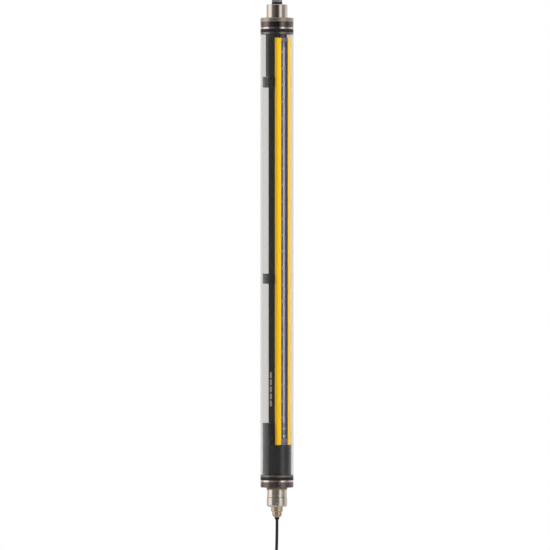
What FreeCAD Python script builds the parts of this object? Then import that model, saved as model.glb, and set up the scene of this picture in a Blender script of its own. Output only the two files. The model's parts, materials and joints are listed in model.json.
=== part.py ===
"""Safety light curtain sealed in a clear protective tube, with a hanging pigtail.

Millimetres. The tube's axis is Z, its middle is the origin, and the curtain looks along -Y.
Most pieces are turned or extruded, and stand on one another: each station below is worked
out from the tube's two ends.
"""
import FreeCAD, Part
import Sketcher
import math
import os
import re

from FreeCAD import Vector

# --------------------------------------------------------------------------
# Driving dimensions
# --------------------------------------------------------------------------
SIZES = {
    # protective tube
    "tube_diameter": 50.0,
    "tube_wall": 3.0,
    "tube_length": 662.6,
    # rings and caps stacked on each end of the tube
    "cap_inset": 0.1,
    "collar_height": 3.8,
    "seal_height": 3.8,
    "clamp_ring_height": 3.8,
    "cap_height": 7.6,
    "neck_gap": 1.0,
    "neck_clearance": 0.2,
    "ring_chamfer": 0.5,
    "edge_break": 0.6,
    "groove_width": 1.6,
    "groove_depth": 1.2,
    # foot thread and the wire bore through the foot cap
    "spigot_diameter": 32.0,
    "spigot_length": 12.0,
    "spigot_chamfer": 1.0,
    "wire_bore": 12.0,
    # cover, boss and vent on top
    "cover_height": 6.2,
    "cover_round": 1.4,
    "boss_diameter": 31.8,
    "boss_height": 20.1,
    "boss_thread": 14.0,
    "boss_thread_length": 11.0,
    "boss_bore": 8.0,
    "vent_diameter": 15.8,
    "vent_thread": 12.0,
    "vent_thread_length": 9.0,
    "vent_seal_height": 3.7,
    "vent_flange_height": 3.6,
    "vent_cap_height": 6.4,
    "vent_slit": 0.6,
    "vent_bore": 5.0,
    "vent_collar_diameter": 10.8,
    "vent_collar_wall": 0.8,
    "vent_cap_chamfer": 1.2,
    "vent_cap_wall": 2.0,
    "membrane_diameter": 11.0,
    "membrane_thickness": 0.4,
    "membrane_seat": 0.8,
    # cable gland under the foot cap
    "gland_flange_diameter": 30.5,
    "gland_flange_height": 3.5,
    "gland_diameter": 30.0,
    "gland_height": 11.3,
    "gland_thread": 20.0,
    "gland_thread_length": 12.0,
    "nut_diameter": 31.0,
    "nut_height": 14.3,
    "nut_thread": 22.0,
    "nut_floor": 5.0,
    "nut_bevel": 2.2,
    "reducer_diameter": 17.8,
    "reducer_height": 7.8,
    "reducer_thread": 11.0,
    "reducer_bevel": 1.2,
    "reducer_upper_thread": 4.4,
    "reducer_lower_thread": 3.9,
    "cable_room": 0.8,
    "reducer_nut_diameter": 14.5,
    "reducer_nut_height": 7.8,
    "reducer_nut_bevel": 2.5,
    "insert_tip_diameter": 7.0,
    "insert_tip_length": 3.7,
    "insert_shoulder": 0.7,
    "thread_clearance": 0.1,
    # cable and its plug
    "cable_diameter": 4.4,
    "cable_clearance": 0.1,
    "plug_grip_length": 22.0,
    "plug_grip_diameter": 13.0,
    "plug_neck_diameter": 7.6,
    "plug_carrier_diameter": 9.6,
    "plug_carrier_length": 4.5,
    "plug_thread": 12.0,
    "plug_knurl_diameter": 14.4,
    "plug_knurl_length": 10.6,
    "plug_thread_length": 10.0,
    "plug_ring_clearance": 0.3,
    "plug_pin_diameter": 1.0,
    "plug_pin_length": 7.0,
    "plug_pin_circle": 5.0,
    "plug_flute_radius": 0.9,
    "plug_flutes": 14,
    "plug_seal_height": 1.5,
    # foot adapter inside the tube
    "tube_fit": 0.15,
    "adapter_height": 45.2,
    "adapter_bore": 24.0,
    "cradle_height": 32.7,
    # curtain: profile, rails, window
    "profile_width": 29.4,
    "profile_depth": 18.4,
    "front_offset": 15.4,
    "profile_wall": 1.8,
    "back_wall": 2.0,
    "rail_chamfer": 0.8,
    "rail_face": 1.8,
    "rail_side": 5.4,
    "rail_leg_depth": 4.7,
    "rail_leg_wall": 1.4,
    "window_width": 14.0,
    "window_recess": 0.2,
    "window_thickness": 1.5,
    "window_flange": 3.2,
    "foot_cap_height": 9.2,
    "head_cap_height": 5.5,
    "seam": 0.1,
    "pocket_clearance": 0.3,
    "pocket_floor": 1.2,
    "lead_lower_bend": 8.0,
    "lead_upper_bend": 12.0,
    # T-slot at the curtain's back
    "slot_opening": 4.2,
    "slot_width": 8.2,
    "slot_lip": 1.4,
    "slot_depth": 2.5,
    "slot_floor": 1.5,
    # optics
    "beam_pitch": 25.0,
    "first_beam": 31.6,
    "last_beam_margin": 12.0,
    "lens_diameter": 9.0,
    "lens_strip_width": 11.4,
    "lens_strip_thickness": 1.2,
    "lens_strip_margin": 8.0,
    "lens_crown": 0.5,
    "lens_seat": 2.3,
    "beam_window": 5.6,
    "carrier_depth": 7.7,
    "board_thickness": 1.6,
    "diode_width": 3.2,
    "diode_height": 2.8,
    "diode_depth": 2.0,
    "light_diameter": 3.0,
    "first_light": 4.0,
    "light_pitch": 11.3,
    "light_side": -1.3,
    "connector_width": 9.0,
    "connector_height": 6.4,
    "connector_depth": 4.2,
    "connector_foot": 0.7,
    # holders
    "holder_height": 15.4,
    "holder_rim": 2.5,
    "holder_pad": 4.05,
    "holder_reach": 7.0,
    "middle_holder_up": 295.2,
    "upper_holder_down": 71.7,
    # bracket that ties the curtain's head to the head cap
    "bracket_depth": 7.9,
    "bracket_height": 58.0,
    "bracket_flange": 5.2,
    "bracket_flange_diameter": 30.4,
    "bracket_corner": 2.0,
    "bracket_bore": 10.0,
    # fixing screws
    "screw_diameter": 2.9,
    "screw_hole": 3.2,
    "screw_head_diameter": 5.5,
    "screw_head_height": 3.0,
    "driver_hole": 5.0,
    "slot_nut_length": 10.0,
    "cap_screw_circle": 23.0,
    "cap_screw_head_diameter": 6.0,
    "cap_screw_head_height": 3.3,
    "cap_screw_diameter": 3.4,
    "cap_screws": 3,
}

doc = FreeCAD.newDocument("safety_light_curtain")
sheet = doc.addObject("Spreadsheet::Sheet", "Sizes")
for row, (name, size) in enumerate(SIZES.items(), start=1):
    sheet.set("A%d" % row, name)
    sheet.set("B%d" % row, str(size))
    sheet.setAlias("B%d" % row, name)
doc.recompute()


def cells(text):
    """The same expression with each size's name pointed at its cell in the sheet."""
    return re.sub(r"[a-z_]+", lambda word: "Sizes." + word[0] if word[0] in SIZES else word[0], text)


def number(text):
    """What an expression comes to, in millimetres."""
    return float(sheet.evalExpression(cells(text)))


def total(*texts):
    """The sum of several expressions, as an expression."""
    return "(" + " + ".join(texts) + ")"


def minus(text, *others):
    """An expression less several others."""
    return "(" + text + "".join(" - " + other for other in others) + ")"


# --------------------------------------------------------------------------
# Stations along the axis
# --------------------------------------------------------------------------
TUBE_FOOT = "(-tube_length / 2)"
TUBE_HEAD = "(tube_length / 2)"
STACK = "(collar_height + seal_height + clamp_ring_height)"

FOOT_SEAL = minus(TUBE_FOOT, "collar_height", "seal_height")
FOOT_CLAMP = minus(TUBE_FOOT, STACK)
FOOT_FACE = minus(FOOT_CLAMP, "cap_height")
GLAND_FOOT = minus(FOOT_FACE, "gland_flange_height", "gland_height")
NUT_FOOT = minus(GLAND_FOOT, "nut_height")
REDUCER_FOOT = minus(NUT_FOOT, "reducer_height")
REDUCER_NUT_FOOT = minus(REDUCER_FOOT, "reducer_nut_height")
CABLE_EXIT = minus(REDUCER_NUT_FOOT, "insert_tip_length")

HEAD_SEAL = total(TUBE_HEAD, "collar_height")
HEAD_CLAMP = total(HEAD_SEAL, "seal_height")
HEAD_CAP = total(TUBE_HEAD, STACK)
HEAD_COVER = total(HEAD_CAP, "cap_height")
BOSS_FOOT = total(HEAD_COVER, "cover_height")
VENT_SEAL_FOOT = total(BOSS_FOOT, "boss_height")
VENT_FOOT = total(VENT_SEAL_FOOT, "vent_seal_height")
VENT_CAP_FOOT = total(VENT_FOOT, "vent_flange_height", "vent_slit")

PROFILE_FOOT = total(TUBE_FOOT, "adapter_height")
PROFILE_HEAD = minus(TUBE_HEAD, "bracket_flange")
PROFILE_LENGTH = minus(PROFILE_HEAD, PROFILE_FOOT)
WINDOW_FOOT = total(PROFILE_FOOT, "foot_cap_height")
WINDOW_HEAD = minus(PROFILE_HEAD, "head_cap_height")
WINDOW_LENGTH = minus(WINDOW_HEAD, WINDOW_FOOT)
FIRST_BEAM = total(WINDOW_FOOT, "first_beam")
MIDDLE_HOLDER = total(TUBE_FOOT, "middle_holder_up")
UPPER_HOLDER = minus(TUBE_HEAD, "upper_holder_down")
BRACKET_FOOT = minus(PROFILE_HEAD, "bracket_height")

# Across the curtain: x to its right, y to its back.
BORE = "(tube_diameter / 2 - tube_wall)"
FIT = "(tube_diameter / 2 - tube_wall - tube_fit)"
HALF_WIDTH = "(profile_width / 2)"
INNER_HALF = minus(HALF_WIDTH, "profile_wall")
FRONT = "(-front_offset)"
BACK = "(profile_depth - front_offset)"
RAIL_BACK = "(rail_face - front_offset)"
SHOULDER = "(rail_side - front_offset)"
INNER_BACK = minus(BACK, "back_wall")
SLOT_ROOF = minus(BACK, "slot_lip")
SLOT_END = minus(SLOT_ROOF, "slot_depth")
SLOT_BASE = minus(SLOT_END, "slot_floor")
BOARD_BACK = minus(SLOT_BASE, "seam")
BOARD_FRONT = minus(BOARD_BACK, "board_thickness")
CARRIER_BACK = minus(BOARD_FRONT, "seam")
CARRIER_FRONT = minus(CARRIER_BACK, "carrier_depth")
LENS_FLOOR = total(CARRIER_FRONT, "lens_seat")
STRIP_BACK = total(CARRIER_FRONT, "lens_strip_thickness")
LEG_INNER = minus(INNER_HALF, "seam", "rail_leg_wall")
FILL_HALF = minus(LEG_INNER, "seam")
PAD_BACK = total(BACK, "holder_pad", "tube_fit")

BEAM_COUNT = int((number(WINDOW_LENGTH) - number("first_beam + last_beam_margin"))
                 // number("beam_pitch")) + 1
STRIP_FOOT = minus("first_beam", "lens_strip_margin")
STRIP_LENGTH = "(%d * beam_pitch + 2 * lens_strip_margin)" % (BEAM_COUNT - 1)

parts = []


# --------------------------------------------------------------------------
# Ways of making a piece
# --------------------------------------------------------------------------
def new_body(name):
    body = doc.addObject("PartDesign::Body", name)
    body.Label = name
    parts.append(body)
    return body


def stand_at(piece, height, across="0", deep="0"):
    """Place a piece by expressions for its Z, X and Y."""
    piece.setExpression("Placement.Base.x", cells(across))
    piece.setExpression("Placement.Base.y", cells(deep))
    piece.setExpression("Placement.Base.z", cells(height))


def new_sketch(body, role, name):
    plane = [item for item in body.Origin.OriginFeatures if item.Role == role][0]
    sketch = body.newObject("Sketcher::SketchObject", name)
    sketch.AttachmentSupport = [(plane, "")]
    sketch.MapMode = "FlatFace"
    return sketch


def pin_point(sketch, edge, end, across, height):
    """Hold one end of an edge at a place given by two expressions."""
    for kind, text, axis in (("DistanceX", across, -2), ("DistanceY", height, -1)):
        distance = number(text)
        if abs(distance) < 1e-9 and "(" not in text and not re.search("[a-z]", text):
            sketch.addConstraint(Sketcher.Constraint("PointOnObject", edge, end, axis))
            continue
        held = sketch.addConstraint(Sketcher.Constraint(kind, -1, 1, edge, end, distance))
        sketch.setExpression("Constraints[%d]" % held, cells(text))


def outline(sketch, corners):
    """A closed outline of straight edges through corners given as pairs of expressions."""
    points = [Vector(number(across), number(height), 0) for across, height in corners]
    first = sketch.GeometryCount
    count = len(points)
    for index in range(count):
        sketch.addGeometry(Part.LineSegment(points[index], points[(index + 1) % count]))
    for index in range(count):
        following = first + (index + 1) % count
        sketch.addConstraint(Sketcher.Constraint("Coincident", first + index, 2, following, 1))
    for index, (across, height) in enumerate(corners):
        pin_point(sketch, first + index, 1, across, height)


def circle(sketch, radius, across="0", height="0"):
    """A circle whose radius and centre are expressions."""
    centre = Vector(number(across), number(height), 0)
    edge = sketch.addGeometry(Part.Circle(centre, Vector(0, 0, 1), number(radius)))
    pin_point(sketch, edge, 3, across, height)
    held = sketch.addConstraint(Sketcher.Constraint("Radius", edge, number(radius)))
    sketch.setExpression("Constraints[%d]" % held, cells(radius))


def turned(name, height, corners):
    """A turned piece: its half outline as (radius, height) pairs, spun round the axis."""
    body = new_body(name)
    sketch = new_sketch(body, "XZ_Plane", name + "_outline")
    outline(sketch, corners)
    spin = body.newObject("PartDesign::Revolution", name + "_turning")
    spin.Profile = sketch
    spin.ReferenceAxis = (sketch, ["V_Axis"])
    spin.Angle = 360.0
    stand_at(body, height)
    return body


def extruded(name, height, length, corners):
    """A piece of constant section: its outline across the axis, and its length."""
    body = new_body(name)
    sketch = new_sketch(body, "XY_Plane", name + "_section")
    outline(sketch, corners)
    pad = body.newObject("PartDesign::Pad", name + "_length")
    pad.Profile = sketch
    pad.setExpression("Length", cells(length))
    stand_at(body, height)
    return body


def cut(body, sketch, depth, away=False):
    """A pocket of the given depth, and a check that it took something away."""
    doc.recompute()
    before = body.Shape.Volume
    pocket = body.newObject("PartDesign::Pocket", sketch.Name + "_cut")
    pocket.Profile = sketch
    pocket.setExpression("Length", cells(depth))
    pocket.Reversed = away
    doc.recompute()
    if before - body.Shape.Volume < 1e-3:
        raise RuntimeError("nothing was cut by " + pocket.Name)
    return pocket


def circle_edges(shape, radius, height):
    """Names of a shape's circular edges of one radius at one height."""
    names = []
    for index, edge in enumerate(shape.Edges, start=1):
        curve = edge.Curve
        if not isinstance(curve, Part.Circle):
            continue
        if abs(curve.Radius - radius) < 1e-4 and abs(curve.Center.z - height) < 1e-4:
            names.append("Edge%d" % index)
    return names


def mirrored_pairs(corners):
    """The right half of a symmetrical outline, and its mirror image after it."""
    return corners + [("(-(" + across + "))", depth) for across, depth in reversed(corners)]


def group(name, solids):
    """Identical small pieces kept together as one group of separate solids."""
    piece = doc.addObject("Part::Feature", name)
    piece.Label = name
    piece.Shape = Part.makeCompound(solids)
    parts.append(piece)
    return piece


# --------------------------------------------------------------------------
# Protective tube
# --------------------------------------------------------------------------
def make_tube():
    body = new_body("protective_tube")
    sketch = new_sketch(body, "XY_Plane", "tube_section")
    circle(sketch, "tube_diameter / 2")
    circle(sketch, BORE)
    pad = body.newObject("PartDesign::Pad", "tube_pad")
    pad.Profile = sketch
    pad.setExpression("Length", cells("tube_length"))
    stand_at(body, TUBE_FOOT)


# --------------------------------------------------------------------------
# Rings and caps: the same stack on both ends of the tube
# --------------------------------------------------------------------------
NECK = "(tube_diameter / 2 - tube_wall - neck_gap)"
RING_INNER = total(NECK, "neck_clearance")
RING_OUTER = "(tube_diameter / 2 - cap_inset)"


def ring_corners(height):
    """A flat ring with both outer edges broken."""
    inset = minus(RING_OUTER, "ring_chamfer")
    return [
        (RING_INNER, "0"),
        (inset, "0"),
        (RING_OUTER, "ring_chamfer"),
        (RING_OUTER, minus(height, "ring_chamfer")),
        (inset, height),
        (RING_INNER, height),
    ]


def make_ring_stack(end, collar_foot, seal_foot, clamp_foot):
    turned(end + "_tube_collar", collar_foot, ring_corners("collar_height"))
    turned(end + "_tube_seal", seal_foot, [
        (RING_INNER, "0"),
        (RING_OUTER, "0"),
        (RING_OUTER, "seal_height"),
        (RING_INNER, "seal_height"),
    ])
    turned(end + "_clamp_ring", clamp_foot, ring_corners("clamp_ring_height"))


def make_bottom_cap():
    """Foot cap: a flange, a neck through the rings and a threaded spigot above it."""
    neck_top = total("cap_height", STACK)
    spigot_top = total(neck_top, "spigot_length")
    thread_top = "(gland_thread_length + thread_clearance)"
    turned("bottom_cap", FOOT_FACE, [
        ("(gland_thread / 2 + thread_clearance)", "0"),
        (minus(RING_OUTER, "ring_chamfer"), "0"),
        (RING_OUTER, "ring_chamfer"),
        (RING_OUTER, minus("cap_height", "ring_chamfer")),
        (minus(RING_OUTER, "ring_chamfer"), "cap_height"),
        (NECK, "cap_height"),
        (NECK, neck_top),
        ("spigot_diameter / 2", neck_top),
        ("spigot_diameter / 2", minus(spigot_top, "spigot_chamfer")),
        ("spigot_diameter / 2 - spigot_chamfer", spigot_top),
        ("wire_bore / 2", spigot_top),
        ("wire_bore / 2", thread_top),
        ("(gland_thread / 2 + thread_clearance)", thread_top),
    ])


def make_top_cap():
    """Head cap: a flange over the rings, a neck through them and screw holes under the cover."""
    neck_foot = "(-collar_height - seal_height - clamp_ring_height)"
    thread_foot = minus("cap_height", "boss_thread_length - cover_height", "thread_clearance")
    body = turned("top_cap", HEAD_CAP, [
        ("wire_bore / 2", neck_foot),
        (NECK, neck_foot),
        (NECK, "0"),
        (minus(RING_OUTER, "ring_chamfer"), "0"),
        (RING_OUTER, "ring_chamfer"),
        (RING_OUTER, minus("cap_height", "ring_chamfer")),
        (minus(RING_OUTER, "ring_chamfer"), "cap_height"),
        ("(boss_thread / 2 + thread_clearance)", "cap_height"),
        ("(boss_thread / 2 + thread_clearance)", thread_foot),
        ("wire_bore / 2", thread_foot),
    ])
    return body


# --------------------------------------------------------------------------
# Cover, boss and vent
# --------------------------------------------------------------------------
def make_cover():
    """Cover disc over the head cap's screws, its upper edge rounded."""
    hole = "(boss_thread / 2 + thread_clearance)"
    body = turned("top_cover", HEAD_COVER, [
        (hole, "0"),
        (RING_OUTER, "0"),
        (RING_OUTER, "cover_height"),
        (hole, "cover_height"),
    ])
    doc.recompute()
    disc = body.Tip
    names = circle_edges(disc.Shape, number(RING_OUTER), number("cover_height"))
    rounded = body.newObject("PartDesign::Fillet", "top_cover_round")
    rounded.Base = (disc, names)
    rounded.setExpression("Radius", cells("cover_round"))
    body.Tip = rounded


def make_boss():
    """Round boss on top, with a male thread down into the head cap and a vent thread above."""
    groove_inner = "(boss_diameter / 2 - 2 * groove_width)"
    groove_outer = "(boss_diameter / 2 - groove_width)"
    vent_thread_foot = "(boss_height - vent_thread_length - vent_seal_height)"
    turned("vent_boss", BOSS_FOOT, [
        ("boss_bore / 2", "(-boss_thread_length)"),
        ("boss_thread / 2", "(-boss_thread_length)"),
        ("boss_thread / 2", "0"),
        (groove_inner, "0"),
        (groove_inner, "groove_depth"),
        (groove_outer, "groove_depth"),
        (groove_outer, "0"),
        ("boss_diameter / 2", "0"),
        ("boss_diameter / 2", minus("boss_height", "edge_break")),
        (minus("boss_diameter / 2", "edge_break"), "boss_height"),
        ("vent_thread / 2 + thread_clearance", "boss_height"),
        ("vent_thread / 2 + thread_clearance", vent_thread_foot),
        ("boss_bore / 2", vent_thread_foot),
    ])
    turned("boss_seal", BOSS_FOOT, [
        (total(groove_inner, "seam"), "0"),
        (minus(groove_outer, "seam"), "0"),
        (minus(groove_outer, "seam"), minus("groove_depth", "seam")),
        (total(groove_inner, "seam"), minus("groove_depth", "seam")),
    ])


def make_vent():
    """Pressure-equalising vent: seal, threaded body, membrane and cap with a slit all round."""
    outer = "(vent_diameter / 2)"
    turned("vent_seal", VENT_SEAL_FOOT, [
        ("vent_thread / 2 + thread_clearance", "0"),
        (outer, "0"),
        (outer, "vent_seal_height"),
        ("vent_thread / 2 + thread_clearance", "vent_seal_height"),
    ])
    pocket = "(membrane_diameter / 2 + seam)"
    seat = "(vent_flange_height - membrane_seat)"
    turned("vent_body", VENT_FOOT, [
        ("vent_bore / 2", "(-vent_thread_length)"),
        ("vent_thread / 2", "(-vent_thread_length)"),
        ("vent_thread / 2", "0"),
        (outer, "0"),
        (outer, "vent_flange_height"),
        (pocket, "vent_flange_height"),
        (pocket, seat),
        ("vent_bore / 2", seat),
    ])
    turned("vent_membrane", total(VENT_FOOT, seat), [
        ("0", "0"),
        ("membrane_diameter / 2", "0"),
        ("membrane_diameter / 2", "membrane_thickness"),
        ("0", "membrane_thickness"),
    ])
    collar_inner = "(vent_collar_diameter / 2 - vent_collar_wall)"
    collar_foot = "(membrane_thickness - membrane_seat - vent_slit)"
    turned("vent_cap", VENT_CAP_FOOT, [
        (collar_inner, collar_foot),
        ("vent_collar_diameter / 2", collar_foot),
        ("vent_collar_diameter / 2", "0"),
        (outer, "0"),
        (outer, "(vent_cap_height - vent_cap_chamfer)"),
        (minus(outer, "vent_cap_chamfer"), "vent_cap_height"),
        ("0", "vent_cap_height"),
        ("0", "(vent_cap_height - vent_cap_wall)"),
        (collar_inner, "(vent_cap_height - vent_cap_wall)"),
    ])


# --------------------------------------------------------------------------
# Cable gland
# --------------------------------------------------------------------------
def make_gland():
    """Gland body and nut, then the reducer, its nut and the rubber insert round the cable."""
    groove_inner = "(gland_thread / 2 + groove_width)"
    groove_outer = "(gland_thread / 2 + 2 * groove_width)"
    drop = "(-gland_flange_height)"
    body_foot = minus(drop, "gland_height")
    nut_grip = "(nut_height - nut_floor)"
    lower_thread = minus(body_foot, nut_grip, "-neck_clearance")
    turned("gland_body", FOOT_FACE, [
        ("wire_bore / 2", lower_thread),
        ("nut_thread / 2", lower_thread),
        ("nut_thread / 2", body_foot),
        ("gland_diameter / 2", body_foot),
        ("gland_diameter / 2", drop),
        ("gland_flange_diameter / 2", drop),
        ("gland_flange_diameter / 2", "(-edge_break)"),
        ("gland_flange_diameter / 2 - edge_break", "0"),
        (groove_outer, "0"),
        (groove_outer, "(-groove_depth)"),
        (groove_inner, "(-groove_depth)"),
        (groove_inner, "0"),
        ("gland_thread / 2", "0"),
        ("gland_thread / 2", "gland_thread_length"),
        ("wire_bore / 2", "gland_thread_length"),
    ])
    turned("gland_seal", FOOT_FACE, [
        (total(groove_inner, "seam"), "(seam - groove_depth)"),
        (minus(groove_outer, "seam"), "(seam - groove_depth)"),
        (minus(groove_outer, "seam"), "0"),
        (total(groove_inner, "seam"), "0"),
    ])
    turned("gland_nut", NUT_FOOT, [
        ("reducer_thread / 2 + thread_clearance", "0"),
        ("nut_diameter / 2 - nut_bevel", "0"),
        ("nut_diameter / 2", "nut_bevel"),
        ("nut_diameter / 2", "(nut_height - edge_break)"),
        ("nut_diameter / 2 - edge_break", "nut_height"),
        ("nut_thread / 2 + thread_clearance", "nut_height"),
        ("nut_thread / 2 + thread_clearance", minus("nut_height", nut_grip)),
        ("reducer_thread / 2 + thread_clearance", minus("nut_height", nut_grip)),
    ])
    insert_head = "(insert_tip_diameter / 2 + insert_shoulder)"
    head_room = total(insert_head, "thread_clearance")
    thread_drop = "(-reducer_lower_thread)"
    turned("reducer_body", REDUCER_FOOT, [
        (head_room, thread_drop),
        ("reducer_thread / 2", thread_drop),
        ("reducer_thread / 2", "0"),
        ("reducer_diameter / 2 - reducer_bevel", "0"),
        ("reducer_diameter / 2", "reducer_bevel"),
        ("reducer_diameter / 2", "reducer_height"),
        ("reducer_thread / 2", "reducer_height"),
        ("reducer_thread / 2", "reducer_height + reducer_upper_thread"),
        ("cable_diameter / 2 + cable_room", "reducer_height + reducer_upper_thread"),
        ("cable_diameter / 2 + cable_room", "0"),
        (head_room, "0"),
    ])
    floor = "(reducer_nut_height - reducer_lower_thread - neck_clearance)"
    turned("reducer_nut", REDUCER_NUT_FOOT, [
        ("insert_tip_diameter / 2 + thread_clearance", "0"),
        ("reducer_nut_diameter / 2 - reducer_nut_bevel", "0"),
        ("reducer_nut_diameter / 2", "reducer_nut_bevel"),
        ("reducer_nut_diameter / 2", "reducer_nut_height"),
        ("reducer_thread / 2 + thread_clearance", "reducer_nut_height"),
        ("reducer_thread / 2 + thread_clearance", floor),
        ("insert_tip_diameter / 2 + thread_clearance", floor),
    ])
    insert_seat = total("insert_tip_length", floor, "thread_clearance")
    insert_top = total("insert_tip_length", "reducer_nut_height - thread_clearance")
    turned("gland_insert", CABLE_EXIT, [
        ("cable_diameter / 2 + cable_clearance", "0"),
        ("insert_tip_diameter / 2", "0"),
        ("insert_tip_diameter / 2", insert_seat),
        (insert_head, insert_seat),
        (insert_head, insert_top),
        ("cable_diameter / 2 + cable_clearance", insert_top),
    ])


# --------------------------------------------------------------------------
# Foot adapter, holders and bracket inside the tube
# --------------------------------------------------------------------------
def cradle_sketch(body, name):
    """Cradle section: round outside to fit the bore, square inside to fit the curtain.

    The outline runs from the right horn's tip round the back to the left horn's tip, then
    along the curtain's back. A D-shaped opening behind the pad leaves a thin rim.
    """
    sketch = new_sketch(body, "XY_Plane", name)
    reach = number("holder_reach")
    fit = number(FIT)
    tip = math.sqrt(fit * fit - reach * reach)
    start = math.atan2(-reach, tip)
    side = total(HALF_WIDTH, "tube_fit")
    back = total(BACK, "tube_fit")
    inner = [
        (minus("0", side), "(-holder_reach)"),
        (minus("0", side), back),
        (side, back),
        (side, "(-holder_reach)"),
    ]
    corner = [Vector(number(across), number(depth), 0) for across, depth in inner]
    right_tip = Vector(tip, -reach, 0)
    left_tip = Vector(-tip, -reach, 0)
    rim = Part.ArcOfCircle(Part.Circle(Vector(0, 0, 0), Vector(0, 0, 1), fit), start, math.pi - start)
    edges = [
        rim,
        Part.LineSegment(left_tip, corner[0]),
        Part.LineSegment(corner[0], corner[1]),
        Part.LineSegment(corner[1], corner[2]),
        Part.LineSegment(corner[2], corner[3]),
        Part.LineSegment(corner[3], right_tip),
    ]
    for edge in edges:
        sketch.addGeometry(edge)
    sketch.addConstraint(Sketcher.Constraint("Coincident", 0, 3, -1, 1))
    sketch.addConstraint(Sketcher.Constraint("Coincident", 0, 2, 1, 1))
    for index in range(1, 5):
        sketch.addConstraint(Sketcher.Constraint("Coincident", index, 2, index + 1, 1))
    sketch.addConstraint(Sketcher.Constraint("Coincident", 5, 2, 0, 1))
    held = sketch.addConstraint(Sketcher.Constraint("Radius", 0, fit))
    sketch.setExpression("Constraints[%d]" % held, cells(FIT))
    for index, (across, depth) in enumerate(inner):
        pin_point(sketch, index + 2, 1, across, depth)
    sketch.addConstraint(Sketcher.Constraint("Horizontal", 1))
    sketch.addConstraint(Sketcher.Constraint("Horizontal", 5))

    inside = number(minus(FIT, "holder_rim"))
    pad_back = number(PAD_BACK)
    end = math.sqrt(inside * inside - pad_back * pad_back)
    start = math.atan2(pad_back, end)
    hollow = Part.Circle(Vector(0, 0, 0), Vector(0, 0, 1), inside)
    sketch.addGeometry(Part.ArcOfCircle(hollow, start, math.pi - start))
    sketch.addGeometry(Part.LineSegment(Vector(-end, pad_back, 0), Vector(end, pad_back, 0)))
    sketch.addConstraint(Sketcher.Constraint("Coincident", 6, 3, -1, 1))
    sketch.addConstraint(Sketcher.Constraint("Coincident", 6, 2, 7, 1))
    sketch.addConstraint(Sketcher.Constraint("Coincident", 7, 2, 6, 1))
    sketch.addConstraint(Sketcher.Constraint("Horizontal", 7))
    held = sketch.addConstraint(Sketcher.Constraint("Radius", 6, inside))
    sketch.setExpression("Constraints[%d]" % held, cells(minus(FIT, "holder_rim")))
    held = sketch.addConstraint(Sketcher.Constraint("DistanceY", -1, 1, 7, 1, pad_back))
    sketch.setExpression("Constraints[%d]" % held, cells(PAD_BACK))
    return sketch


def drill_for_screw(body, name, height, reach):
    """A screw's clearance hole through the pad and a driver's hole through what lies behind."""
    plane_sketch = new_sketch(body, "XZ_Plane", name + "_screw_hole")
    circle(plane_sketch, "screw_hole / 2", "0", height)
    cut(body, plane_sketch, minus(PAD_BACK, "-0.5"), away=False)
    driver = new_sketch(body, "XZ_Plane", name + "_driver_hole")
    driver.setExpression("AttachmentOffset.Base.z", cells("(-(" + total(PAD_BACK, "0.5") + "))"))
    circle(driver, "driver_hole / 2", "0", height)
    cut(body, driver, reach, away=False)


def make_holder(name, height):
    """Holder: a cradle that slides on the curtain's back and centres it in the tube."""
    body = new_body(name)
    sketch = cradle_sketch(body, name + "_section")
    pad = body.newObject("PartDesign::Pad", name + "_height")
    pad.Profile = sketch
    pad.setExpression("Length", cells("holder_height"))
    stand_at(body, minus(height, "holder_height / 2"))
    drill_for_screw(body, name, "holder_height / 2", "tube_diameter / 2")


def make_adapter():
    """Foot adapter: a plug that fills the bore, with the curtain's cradle standing on it."""
    body = turned("bottom_adapter", TUBE_FOOT, [
        ("spigot_diameter / 2 + thread_clearance", "0"),
        (minus(FIT, "edge_break"), "0"),
        (FIT, "edge_break"),
        (FIT, "adapter_height"),
        ("adapter_bore / 2", "adapter_height"),
        ("adapter_bore / 2", "(spigot_length + neck_clearance)"),
        ("spigot_diameter / 2 + thread_clearance", "(spigot_length + neck_clearance)"),
    ])
    sketch = cradle_sketch(body, "cradle_section")
    sketch.setExpression("AttachmentOffset.Base.z", cells("adapter_height"))
    pad = body.newObject("PartDesign::Pad", "cradle_height_pad")
    pad.Profile = sketch
    pad.setExpression("Length", cells("cradle_height"))
    doc.recompute()
    drill_for_screw(body, "cradle", "(adapter_height + cradle_height / 2)", "tube_diameter / 2")


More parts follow.
